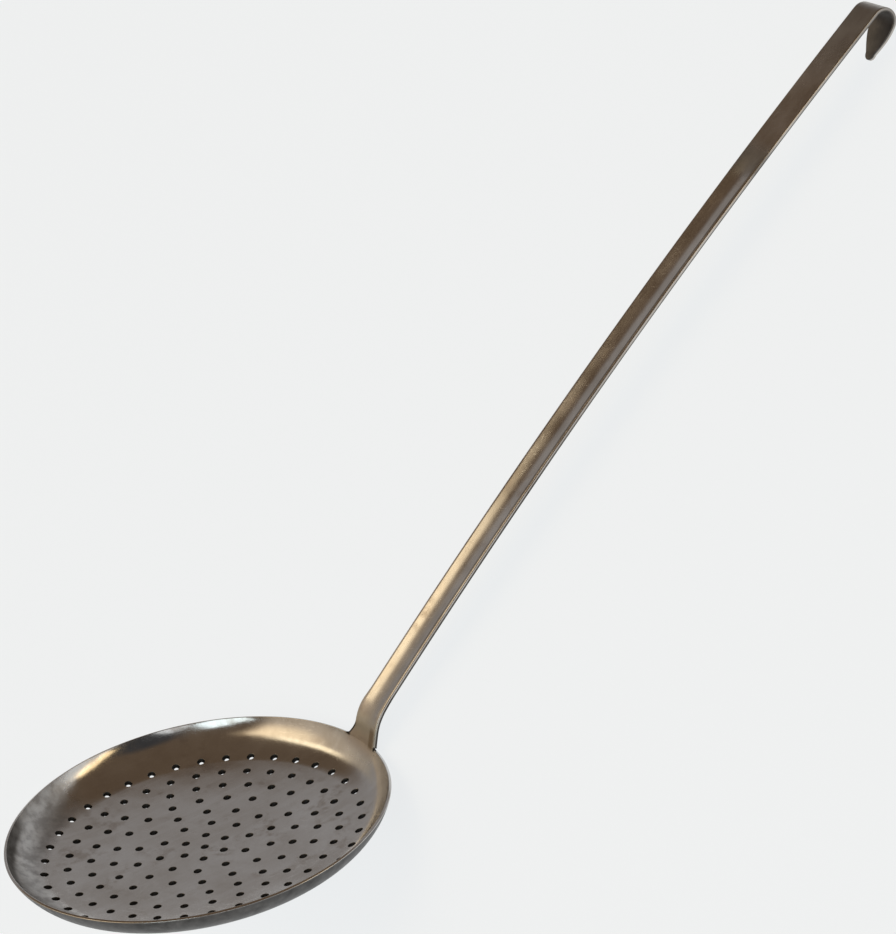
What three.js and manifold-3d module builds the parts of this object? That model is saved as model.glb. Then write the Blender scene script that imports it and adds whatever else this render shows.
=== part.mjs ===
// A perforated skimmer. A shallow dish is pressed from steel sheet and punched with rings of holes.
// A long strip handle is spread out at its foot and butt welded to the dish's rim. It is bent out at
// the neck, grooved along the grip and turned over to a hook at the top.
//
// Units are millimetres and +Z is up. The skimmer lies as it does on a table, on the wall of its
// dish and the tip of its hook, with the handle along +X and the origin under its middle.
import * as THREE from "three";
import { mergeGeometries, mergeVertices } from "three/addons/utils/BufferGeometryUtils.js";
import Module from "manifold-3d";

const { degToRad } = THREE.MathUtils;
const wasm = await Module();
wasm.setup();

// Dish: the inner face is a flat middle, a shallow dome and a rounded wall, each tangent to the next
const SHEET = 1.5;
const RIM_DIAMETER = 200;
const FLAT_RADIUS = 20;
const FLOOR_ARC = 430;
const WALL_ARC = 24;
const RIM_SLOPE = degToRad(70);
const DISH_SIDES = 64;

// Perforation: rings of round holes, each ring turned by its own angle from the handle
const HOLE_DIAMETER = 4.2;
const HOLE_SIDES = 8;
const RING_PITCH = 11.74;
const RINGS = [
  { holes: 1, turn: 0 },
  { holes: 6, turn: 0 },
  { holes: 10, turn: 18 },
  { holes: 14, turn: 9.4 },
  { holes: 20, turn: 12 },
  { holes: 26, turn: 11.6 },
  { holes: 32, turn: 9.9 },
  { holes: 38, turn: 6.8 },
];

// Handle: a strip with rounded edges, spread at its foot, bent at the neck and grooved along the grip
const STRIP_WIDTH = 19.3;
const STRIP_THICKNESS = 2.4;
const EDGE_ROUND = 1;
const FOOT_RISE = 6.6;
const FOOT_SPREAD = 4;
const FOOT_CURVE = 3.5;
const NECK_BEND = 25.9;
const GROOVE_DEPTH = 1.2;
const GROOVE_RUNOUT = 24;
const GRIP_LENGTH = 447.7;
const GRIP_SLOPE = degToRad(40.5);
const GRIP_BOW = degToRad(6.86);
const FLAT_LENGTH = 108;

// Hook: the strip's end turned over, tapering to a rounded tip
const HOOK_RADIUS = 7.1;
const HOOK_TURN = degToRad(158.8);
const HOOK_RETURN = 20.5;
const TIP_TAPER = 20.5;
const TIP_RADIUS = 3.6;
const TIP_FLAT = 0.4;

// Weld: a bead between the rim and the handle's foot, ground flush inside and proud on the back
const WELD_WIDTH = 1.2;
const WELD_CROWN = 0.5;
const WELD_GAP = 0.3;
const WELD_STEPS = 8;

const EDGE_STEPS = 4;
const FACE_STEPS = 4;

const NECK_TURN = RIM_SLOPE - GRIP_SLOPE;
const rimRadius = RIM_DIAMETER / 2 - SHEET * Math.sin(RIM_SLOPE);

// Radius where the dome of the floor runs into the wall, from the two arcs being tangent there
const wallStart =
  (rimRadius - WALL_ARC * Math.sin(RIM_SLOPE) - (WALL_ARC * FLAT_RADIUS) / FLOOR_ARC) /
  (1 - WALL_ARC / FLOOR_ARC);
const wallSlope = Math.asin((wallStart - FLAT_RADIUS) / FLOOR_ARC);

// Walks a path in a plane. Each stretch has a length and the angle that the heading falls over
// it, so it is a straight line or an arc. The stations carry the point, heading and distance.
function walk(start, heading, stretches) {
  const stations = [{ point: start.clone(), heading, run: 0 }];
  for (const { length, fall, steps } of stretches) {
    const from = stations.at(-1);
    for (let step = 1; step <= steps; step++) {
      const share = step / steps;
      const turned = from.heading - fall * share;
      const middle = from.heading - (fall * share) / 2;
      const half = (fall * share) / 2;
      const chord = length * share * (half ? Math.sin(half) / half : 1);
      const point = new THREE.Vector2(Math.cos(middle), Math.sin(middle));
      point.multiplyScalar(chord).add(from.point);
      stations.push({ point, heading: turned, run: from.run + length * share });
    }
  }
  return stations;
}

// The point at a height above a station, square to its path
function raised(station, height) {
  const up = new THREE.Vector2(-Math.sin(station.heading), Math.cos(station.heading));
  return up.multiplyScalar(height).add(station.point);
}

// Frame of a station in space: +X across the path, +Y up from it and +Z along it
function acrossFrame({ point, heading }) {
  const up = new THREE.Vector3(-Math.sin(heading), 0, Math.cos(heading));
  const along = new THREE.Vector3(Math.cos(heading), 0, Math.sin(heading));
  const frame = new THREE.Matrix4().makeBasis(new THREE.Vector3(0, 1, 0), up, along);
  return frame.setPosition(point.x, 0, point.y);
}

// Skin through outlines of equal point counts, each in the XY plane of its own frame and running
// anticlockwise, with both ends closed
function loft(sections) {
  const count = sections[0].outline.length;
  const positions = [];
  const index = [];
  for (const { outline, frame } of sections) {
    for (const { x, y } of outline) {
      positions.push(...new THREE.Vector3(x, y, 0).applyMatrix4(frame));
    }
  }
  for (let ring = 0; ring + 1 < sections.length; ring++) {
    for (let side = 0; side < count; side++) {
      const near = ring * count + side;
      const next = ring * count + ((side + 1) % count);
      index.push(near, next, next + count, near, next + count, near + count);
    }
  }
  const last = (sections.length - 1) * count;
  for (const [a, b, c] of THREE.ShapeUtils.triangulateShape(sections[0].outline, [])) {
    index.push(c, b, a);
  }
  for (const [a, b, c] of THREE.ShapeUtils.triangulateShape(sections.at(-1).outline, [])) {
    index.push(last + a, last + b, last + c);
  }
  const geometry = new THREE.BufferGeometry();
  geometry.setAttribute("position", new THREE.Float32BufferAttribute(positions, 3));
  return geometry.setIndex(index);
}

// A closed geometry as a solid for joining and cutting, without the slivers at a lathe's poles
function toSolid(geometry) {
  const bare = geometry.clone();
  bare.deleteAttribute("normal");
  bare.deleteAttribute("uv");
  const merged = mergeVertices(bare, 1e-4);
  const triVerts = [];
  const corners = merged.index.array;
  for (let i = 0; i < corners.length; i += 3) {
    const [a, b, c] = corners.slice(i, i + 3);
    if (a !== b && b !== c && c !== a) triVerts.push(a, b, c);
  }
  const vertProperties = merged.getAttribute("position").array;
  const mesh = new wasm.Mesh({ numProp: 3, vertProperties, triVerts: new Uint32Array(triVerts) });
  return new wasm.Manifold(mesh);
}

function toGeometry(solid) {
  const mesh = solid.getMesh();
  const geometry = new THREE.BufferGeometry();
  geometry.setAttribute("position", new THREE.Float32BufferAttribute(mesh.vertProperties, 3));
  geometry.setIndex(new THREE.BufferAttribute(mesh.triVerts, 1));
  return geometry;
}

// Inner face of the dish from its middle to the rim, in radius and height
const dishPath = walk(new THREE.Vector2(0, 0), 0, [
  { length: FLAT_RADIUS, fall: 0, steps: 1 },
  { length: FLOOR_ARC * wallSlope, fall: -wallSlope, steps: 5 },
  { length: WALL_ARC * (RIM_SLOPE - wallSlope), fall: wallSlope - RIM_SLOPE, steps: 6 },
]);
const rim = dishPath.at(-1);

// The sheet as a body of revolution, with the middle of one side under the handle
function pressedSheet() {
  const outer = dishPath.map((station) => raised(station, -SHEET)).reverse();
  outer[outer.length - 1].x = 0;
  const profile = [...dishPath.map((station) => station.point), ...outer].reverse();
  const lathe = new THREE.LatheGeometry(profile, DISH_SIDES, Math.PI / DISH_SIDES);
  return toSolid(lathe.rotateX(Math.PI / 2));
}

// One upright punch for each hole of the pattern
function holePunches() {
  const punches = [];
  RINGS.forEach(({ holes, turn }, ring) => {
    for (let hole = 0; hole < holes; hole++) {
      const azimuth = degToRad(turn) + (2 * Math.PI * hole) / holes;
      const radius = ring * RING_PITCH;
      const punch = new THREE.CylinderGeometry(
        HOLE_DIAMETER / 2,
        HOLE_DIAMETER / 2,
        2 * rim.point.y,
        HOLE_SIDES,
      );
      punch.rotateX(Math.PI / 2).rotateZ(azimuth);
      punches.push(punch.translate(radius * Math.cos(azimuth), radius * Math.sin(azimuth), 0));
    }
  });
  return toSolid(mergeGeometries(punches));
}

function perforatedDish() {
  return toGeometry(pressedSheet().subtract(holePunches()));
}

// Stations of the joint, in line with the wall: the rim, both sides of the weld and the foot
const joint = walk(rim.point, RIM_SLOPE, [
  { length: WELD_GAP, fall: 0, steps: 1 },
  { length: WELD_WIDTH, fall: 0, steps: 1 },
  { length: WELD_GAP, fall: 0, steps: 1 },
]);

// Depth of the rim's curve over the strip's width, which the foot is hollowed to
const footHollow = (STRIP_WIDTH / 2) ** 2 / (2 * rimRadius);

// Middle line of the strip's edges from its foot to the tip of the hook. The bottom of its hollow
// starts flush with the inner face of the dish.
const stripPath = walk(raised(joint.at(-1), footHollow - STRIP_THICKNESS / 2), RIM_SLOPE, [
  { length: FOOT_RISE, fall: 0, steps: 6 },
  { length: NECK_BEND * NECK_TURN, fall: NECK_TURN, steps: 6 },
  { length: GRIP_LENGTH, fall: GRIP_BOW, steps: 28 },
  { length: HOOK_RADIUS * HOOK_TURN, fall: HOOK_TURN, steps: 14 },
  { length: HOOK_RETURN - TIP_FLAT, fall: 0, steps: 12 },
]);

// Half the strip's width at distances from its foot and from the end of its tip: spread out at the
// foot, then parallel, tapered, and round at the tip
function halfWidth(run, left) {
  if (left < TIP_RADIUS) {
    return Math.sqrt(TIP_RADIUS ** 2 - (TIP_RADIUS - left) ** 2);
  }
  const taper = Math.min(1, (left - TIP_RADIUS) / (TIP_TAPER - TIP_RADIUS));
  const spread = FOOT_SPREAD * Math.max(0, 1 - run / FOOT_RISE) ** FOOT_CURVE;
  return TIP_RADIUS + (STRIP_WIDTH / 2 - TIP_RADIUS) * Math.sin((taper * Math.PI) / 2) + spread;
}

// Outline of the strip: two faces sunk by the groove and two rounded edges
function stripOutline(half, groove) {
  const edge = Math.min(EDGE_ROUND, half / 2);
  const outline = [];
  for (const side of [1, -1]) {
    for (let step = 0; step <= EDGE_STEPS; step++) {
      const angle = (step / EDGE_STEPS - 0.5) * Math.PI;
      const x = half - edge + edge * Math.cos(angle);
      outline.push(new THREE.Vector2(side * x, (side * STRIP_THICKNESS * Math.sin(angle)) / 2));
    }
    for (let step = 1; step < FACE_STEPS; step++) {
      const x = (half - edge) * (1 - (2 * step) / FACE_STEPS);
      outline.push(new THREE.Vector2(side * x, (side * STRIP_THICKNESS) / 2));
    }
  }
  for (const point of outline) {
    point.y -= groove * (1 - ((2 * point.x) / STRIP_WIDTH) ** 2);
  }
  return outline;
}

function handleStrip() {
  const { smoothstep, lerp } = THREE.MathUtils;
  const tip = stripPath.at(-1).run + TIP_FLAT;
  const grooveEnd = tip - HOOK_RETURN - HOOK_RADIUS * HOOK_TURN - FLAT_LENGTH;
  const sections = stripPath.map((station) => {
    const half = halfWidth(station.run, tip - station.run);
    const deepened = lerp(footHollow, GROOVE_DEPTH, smoothstep(station.run, 0, GROOVE_RUNOUT));
    const groove = deepened * smoothstep(grooveEnd - station.run, 0, GROOVE_RUNOUT);
    return { outline: stripOutline(half, groove), frame: acrossFrame(station) };
  });
  return loft(sections);
}

// Bead along the rim under the handle's foot
function weldBead() {
  const [, start, end] = joint;
  const outline = [
    start.point,
    end.point,
    raised(end, -STRIP_THICKNESS - WELD_CROWN),
    raised(start, -SHEET - WELD_CROWN),
  ].reverse();
  const reach = Math.asin((STRIP_WIDTH / 2 + FOOT_SPREAD / 2) / rimRadius);
  const sections = [];
  for (let step = 0; step <= WELD_STEPS; step++) {
    const frame = new THREE.Matrix4().makeRotationZ(reach * (1 - (2 * step) / WELD_STEPS));
    sections.push({ outline, frame: frame.multiply(new THREE.Matrix4().makeRotationX(Math.PI / 2)) });
  }
  return loft(sections);
}

// Lowest point of a geometry once it is tipped about +Y
function lowest(geometry, tilt) {
  const tipped = geometry.clone().rotateY(tilt);
  tipped.computeBoundingBox();
  return tipped.boundingBox.min.z;
}

// Tilt at which the dish and the hook both touch the table
function restTilt(dish, handle) {
  let level = 0;
  let steep = RIM_SLOPE;
  for (let round = 0; round < 40; round++) {
    const tilt = (level + steep) / 2;
    if (lowest(handle, tilt) > lowest(dish, tilt)) level = tilt;
    else steep = tilt;
  }
  return level;
}

const satin = { color: 0x9b958d, metalness: 1, roughness: 0.34 };
const worn = { color: 0x8b8076, metalness: 1, roughness: 0.3 };
const heatTinted = { color: 0x6b5a41, metalness: 1, roughness: 0.5 };

const skimmer = new THREE.Group();
function addPiece(name, geometry, look) {
  const piece = new THREE.Mesh(geometry, new THREE.MeshStandardMaterial(look));
  piece.name = name;
  skimmer.add(piece);
  return piece;
}

const dish = addPiece("perforated_dish", perforatedDish(), satin);
const handle = addPiece("handle_strip", handleStrip(), worn);
addPiece("rim_weld", weldBead(), heatTinted);

skimmer.rotation.y = restTilt(dish.geometry, handle.geometry);
const bounds = new THREE.Box3().setFromObject(skimmer, true);
skimmer.position.set(-(bounds.min.x + bounds.max.x) / 2, 0, -bounds.min.z);

const part = new THREE.Group();
part.add(skimmer);
export default part;
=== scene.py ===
"""Looks of a perforated skimmer: a pressed dish, a grooved handle strip and the weld between them.

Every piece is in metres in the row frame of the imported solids. Shapes are first worked out in millimetres in
the dish's own frame, with x towards the handle, z up the dish's axis and the middle of the inner floor at the
origin. They are then laid down to the rest pose, on the wall of the dish and the tip of the hook.
"""

from __future__ import annotations

import logging
import math
from abc import ABC, abstractmethod
from dataclasses import dataclass
from enum import Enum
from typing import Any, Iterable, Union

import bpy
import numpy as np
from mathutils import Matrix, Vector
from mathutils.geometry import delaunay_2d_cdt


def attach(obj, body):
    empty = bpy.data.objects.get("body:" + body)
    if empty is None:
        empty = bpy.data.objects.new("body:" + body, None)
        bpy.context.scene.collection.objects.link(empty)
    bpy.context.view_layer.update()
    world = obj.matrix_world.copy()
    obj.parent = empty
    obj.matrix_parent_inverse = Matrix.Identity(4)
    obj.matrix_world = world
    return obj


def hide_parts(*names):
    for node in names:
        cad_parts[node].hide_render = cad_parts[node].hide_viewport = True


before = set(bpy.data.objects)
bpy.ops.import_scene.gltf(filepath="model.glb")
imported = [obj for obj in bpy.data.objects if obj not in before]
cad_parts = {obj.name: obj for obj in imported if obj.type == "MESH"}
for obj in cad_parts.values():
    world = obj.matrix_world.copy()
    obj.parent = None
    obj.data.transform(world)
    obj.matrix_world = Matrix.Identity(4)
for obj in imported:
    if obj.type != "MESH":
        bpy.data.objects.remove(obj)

LOG = logging.getLogger("skimmer")
MILLIMETRE = 0.001

Array = np.ndarray
Pair = tuple[float, float]
Point = tuple[float, float, float]
Colour = tuple[float, float, float]
Operand = Union["Value", float]

# Marks that the finishes read: painted shade in holes, on outer faces and dark places, and scrapes partly
# painted shade.
SHADE_AND_SCRAPE_MARKS = ("hole_shade", "outer_shade", "dark_shade", "scraped_and_shaded")

# Shared sizes in millimetres: radius and height of the rim's inner edge, thickness of the sheet and the strip
RIM = (98.5905, 19.6774)
SHEET = 1.5
STRIP = 2.4

# Shared angles in radians
RIM_SLOPE = math.radians(70.0)
QUARTER_TURN = 0.5 * math.pi
FULL_TURN = 2.0 * math.pi


class Slot(Enum):
    """Material slots of the record."""

    DISH = "dish_steel"
    HANDLE = "handle_steel"
    WELD = "weld_steel"


# Meshes


@dataclass(frozen=True)
class RestPose:
    """How the tool lies on the floor: tipped about the y axis, then shifted."""

    tilt: float = math.radians(36.10660239)
    shift: Point = (-248.055985, 0.0, 47.681554)

    def turn(self, vectors: Array) -> Array:
        """Directions of the dish's frame, turned to the row frame."""
        cosine, sine = math.cos(self.tilt), math.sin(self.tilt)
        return vectors @ np.array(((cosine, 0.0, -sine), (0.0, 1.0, 0.0), (sine, 0.0, cosine)))

    def place(self, points: Array) -> Array:
        """Points of the dish's frame in millimetres, laid down in the row frame in metres."""
        return (self.turn(points) + np.array(self.shift)) * MILLIMETRE


@dataclass
class Skin:
    """A closed surface under way, in millimetres in the dish's frame.

    points and normals hold one row of three numbers for each point. marks are named values or vectors, one
    for each point, that the finishes read. Marks of scrapes and of painted shade that are left out are zero.
    """

    points: Array
    normals: Array
    faces: list[list[int]]
    marks: dict[str, Array]

    def piece(self, name: str, pose: RestPose) -> bpy.types.Object:
        """Makes the mesh and its object.

        Args:
            name: Name of the object and its mesh.
            pose: Rest pose that the points are laid down to.

        Returns:
            The object, at the origin, with its place in its mesh.
        """
        mesh = bpy.data.meshes.new(name)
        mesh.from_pydata(pose.place(self.points).tolist(), [], self.faces)
        clean = {mark: np.zeros(len(self.points)) for mark in SHADE_AND_SCRAPE_MARKS}
        for mark, values in {"place": self.points, **clean, **self.marks}.items():
            kind, entry = ("FLOAT_VECTOR", "vector") if values.ndim == 2 else ("FLOAT", "value")
            layer = mesh.attributes.new(mark, kind, "POINT")
            layer.data.foreach_set(entry, values.astype(np.float32).ravel())
        mesh.shade_smooth()
        mesh.normals_split_custom_set_from_vertices(pose.turn(self.normals).tolist())
        piece = bpy.data.objects.new(name, mesh)
        bpy.context.scene.collection.objects.link(piece)
        return piece


def grid_quads(rows: int, columns: int, first: int = 0) -> Array:
    """Quads of a grid whose points are numbered row by row, each row closed back onto its first point.

    Args:
        rows: Number of rows.
        columns: Number of points in a row.
        first: Number of the grid's first point.

    Returns:
        One row of four point numbers for each quad.
    """
    row = columns * np.arange(rows - 1)[:, None]
    column = np.arange(columns)[None, :]
    after = (column + 1) % columns
    corners = (row + column, row + after, row + columns + after, row + columns + column)
    return first + np.stack(np.broadcast_arrays(*corners), axis=-1).reshape(-1, 4)


def tube_faces(rows: int, columns: int) -> list[list[int]]:
    """Quads of a grid of closed rows, and one face over each of its two ends."""
    last = (rows - 1) * columns
    ends = [list(range(columns))[::-1], list(range(last, last + columns))]
    return grid_quads(rows, columns).tolist() + ends


def unit(vectors: Array) -> Array:
    """Vectors scaled to length one."""
    return vectors / np.linalg.norm(vectors, axis=-1, keepdims=True)


def eased(values: Array, low: float, high: float) -> Array:
    """Smooth step of values from 0 at low to 1 at high."""
    share = np.clip((values - low) / (high - low), 0.0, 1.0)
    return share * share * (3.0 - 2.0 * share)


def even_angles(count: int) -> Array:
    """Angles at even steps round a full turn."""
    return np.arange(count) * (FULL_TURN / count)


def spokes(angles: Array) -> Array:
    """Vectors of length one in a plane, at angles from its first axis."""
    return np.stack((np.cos(angles), np.sin(angles)), axis=-1)


@dataclass(frozen=True)
class BentPath:
    """A path in a plane made of straight lines and arcs.

    Each stretch has a length and the angle that the heading falls over it.
    """

    start: Pair
    heading: float
    stretches: tuple[Pair, ...]

    @property
    def length(self) -> float:
        """Whole length of the path."""
        return sum(length for length, _ in self.stretches)

    def follow(self, run: Array) -> tuple[Array, Array]:
        """Points and headings at distances along the path.

        Over a share of an arc the path advances by the chord, in the direction half way through its turn.

        Args:
            run: Distances from the start.

        Returns:
            The points, one row of two numbers each, and the headings.
        """
        lengths, falls = np.array(self.stretches).T
        starts = np.cumsum(lengths) - lengths
        headings = self.heading - (np.cumsum(falls) - falls)
        chords = lengths * np.sinc(falls / 2.0 / np.pi)
        middles = headings - falls / 2.0
        steps = chords[:, None] * spokes(middles)
        corners = np.array(self.start) + np.cumsum(steps, axis=0) - steps
        which = np.clip(np.searchsorted(starts, run, side="right") - 1, 0, len(starts) - 1)
        share = (run - starts[which]) / lengths[which]
        half = falls[which] * share / 2.0
        chord = lengths[which] * share * np.sinc(half / np.pi)
        middle = headings[which] - half
        points = corners[which] + chord[:, None] * spokes(middle)
        return points, middle - half


# Shader expressions


class Value:
    """One output socket, with arithmetic that adds Math nodes."""

    def __init__(self, shader: Shader, socket: bpy.types.NodeSocket) -> None:
        """Keeps the shader that the socket belongs to."""
        self.shader = shader
        self.socket = socket

    def math(self, operation: str, first: Operand, second: Operand = 0.0) -> Value:
        """Adds one Math node."""
        return self.shader.add("ShaderNodeMath", {"operation": operation}, {0: first, 1: second})

    def __add__(self, other: Operand) -> Value:
        """Sum."""
        return self.math("ADD", self, other)

    __radd__ = __add__

    def __sub__(self, other: Operand) -> Value:
        """Difference."""
        return self.math("SUBTRACT", self, other)

    def __rsub__(self, other: Operand) -> Value:
        """Difference from a number."""
        return self.math("SUBTRACT", other, self)

    def __mul__(self, other: Operand) -> Value:
        """Product."""
        return self.math("MULTIPLY", self, other)

    def __abs__(self) -> Value:
        """Size without sign."""
        return self.math("ABSOLUTE", self)

    def __or__(self, other: Operand) -> Value:
        """The larger of two masks."""
        return self.math("MAXIMUM", self, other)

    def rise(self, low: float, high: float) -> Value:
        """Smooth step from 0 at low to 1 at high."""
        settings = {"interpolation_type": "SMOOTHSTEP"}
        sockets = {"Value": self, "From Min": low, "From Max": high}
        return self.shader.add("ShaderNodeMapRange", settings, sockets)

    def within(self, middle: float, half: float, soft: float) -> Value:
        """A band: 1 up to half away from middle, falling to 0 over soft."""
        return 1.0 - abs(self - middle).rise(half, half + soft)


class Shader:
    """The node tree of one material or of the world, with one way to add nodes."""

    def __init__(self, tree: bpy.types.NodeTree) -> None:
        """Empties the tree."""
        self.tree = tree
        self.tree.nodes.clear()

    def add(
        self,
        kind: str,
        settings: dict[str, Any] | None = None,
        sockets: dict[str | int, Any] | None = None,
        output: str | int = 0,
    ) -> Value:
        """Adds a node.

        Args:
            kind: Type of the node.
            settings: Its settings, which are set first.
            sockets: Values or links of its input sockets, by name or number.
            output: Output socket that is returned.

        Returns:
            The output socket, or the node's first input where it has no outputs.
        """
        node = self.tree.nodes.new(kind)
        for name, setting in (settings or {}).items():
            setattr(node, name, setting)
        for name, entry in (sockets or {}).items():
            if isinstance(entry, Value):
                self.tree.links.new(entry.socket, node.inputs[name])
            else:
                node.inputs[name].default_value = entry
        return Value(self, node.outputs[output] if node.outputs else node.inputs[0])

    def mark(self, name: str, output: str = "Vector") -> Value:
        """Reads a mark of the mesh."""
        return self.add("ShaderNodeAttribute", {"attribute_name": name}, output=output)

    def part(self, vector: Value, axis: int) -> Value:
        """One coordinate of a vector."""
        return self.add("ShaderNodeSeparateXYZ", sockets={0: vector}, output=axis)

    def turned(self, vector: Value, angle: float, scale: Point) -> Value:
        """A vector turned about z by an angle in degrees, then scaled along each axis."""
        turn = {"rotation_type": "Z_AXIS"}
        facing = self.add("ShaderNodeVectorRotate", turn, {"Vector": vector, "Angle": math.radians(angle)})
        return self.add("ShaderNodeVectorMath", {"operation": "MULTIPLY"}, {0: facing, 1: scale})

    def noise(self, vector: Value, scale: float, detail: float = 2.0, roughness: float = 0.5) -> Value:
        """Soft noise between 0 and 1, about even round 0.5."""
        sockets = {"Vector": vector, "Scale": scale, "Detail": detail, "Roughness": roughness}
        return self.add("ShaderNodeTexNoise", {"noise_dimensions": "3D"}, sockets)

    def blend(self, share: Operand, first: Any, second: Any) -> Value:
        """A colour between two colours."""
        settings = {"data_type": "RGBA", "clamp_factor": True}
        return self.add("ShaderNodeMix", settings, {0: share, 6: first, 7: second}, output=2)

    def coats(self, tone: Any, layers: Iterable[tuple[Operand, Colour]]) -> Value:
        """Lays colours over a tone one after another, each by its share."""
        for share, colour in layers:
            tone = self.blend(share, tone, opaque(colour))
        return tone

    def bump(self, strength: float, distance: float, **links: Value) -> Value:
        """A normal bent by the link Height, from the link Normal or else from the mesh's own."""
        return self.add("ShaderNodeBump", sockets={"Strength": strength, "Distance": distance, **links})


def opaque(colour: Colour) -> tuple[float, float, float, float]:
    """A colour with full alpha."""
    return (*colour, 1.0)


# Finishes


@dataclass(frozen=True)
class HeatTintAndShade:
    """Colours that the heat of welding left round the joint, and painted shade: a brown band by the foot
    and near-black corners.

    They follow two lengths in millimetres: how far a point lies above the rim, in line with the wall, and how
    far it lies to either side of the handle's middle.
    """

    olive: Colour = (0.36, 0.345, 0.295)
    straw: Colour = (0.62, 0.575, 0.47)
    rose: Colour = (0.40, 0.335, 0.30)
    # brown and the near-black are painted shade; olive, straw and rose are heat colours.
    brown: Colour = (0.20, 0.152, 0.105)
    dark_shade: Colour = (0.022, 0.019, 0.017)

    def paint(self, shader: Shader, base: Value, place: Value) -> tuple[Value, Value, Value]:
        """Lays the heat colours and the painted shade over a base colour.

        Args:
            shader: Node tree that the tints go into.
            base: Colour of the clean steel.
            place: Points in the dish's frame.

        Returns:
            The finished colour, the mask of the near-black painted shade and the mask of the dull oxide.
        """
        wander = shader.noise(place, 0.35, 3.0) - 0.5
        out = shader.part(place, 0) - RIM[0]
        lift = shader.part(place, 2) - RIM[1]
        above = out * math.cos(RIM_SLOPE) + lift * math.sin(RIM_SLOPE) + wander * 2.4
        aside = shader.part(place, 1) + wander * 1.6
        spread = aside.within(0.0, 9.0, 9.0)
        olive = above.within(4.5, 2.5, 5.0) * spread
        straw = above.within(11.0, 1.0, 4.0) * spread
        rose = above.within(-1.0, 2.0, 6.0) * aside.within(3.0, 8.0, 9.0)
        # Painted shade: a brown band on the foot's right, near-black spots at the joint's two ends.
        brown = aside.within(-7.0, 1.2, 2.0) * above.within(3.4, 3.6, 3.0)
        left = aside.within(15.0, 1.0, 1.8) * above.within(-0.3, 0.5, 1.2)
        right = aside.within(-11.4, 0.5, 1.2) * above.within(-0.4, 0.4, 1.1)
        # The near-black painted shade: the joint's corners and the mesh's dark mark.
        dark_shade = left | right | shader.mark("dark_shade", "Fac")
        oxide = above.within(4.0, 9.0, 14.0) * spread
        layers = (
            (olive * 0.7, self.olive),
            (straw * 0.5, self.straw),
            (rose * 0.5, self.rose),
            (brown * 0.8, self.brown),
            (dark_shade * 0.95, self.dark_shade),
        )
        return shader.coats(base, layers), dark_shade, oxide


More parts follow.
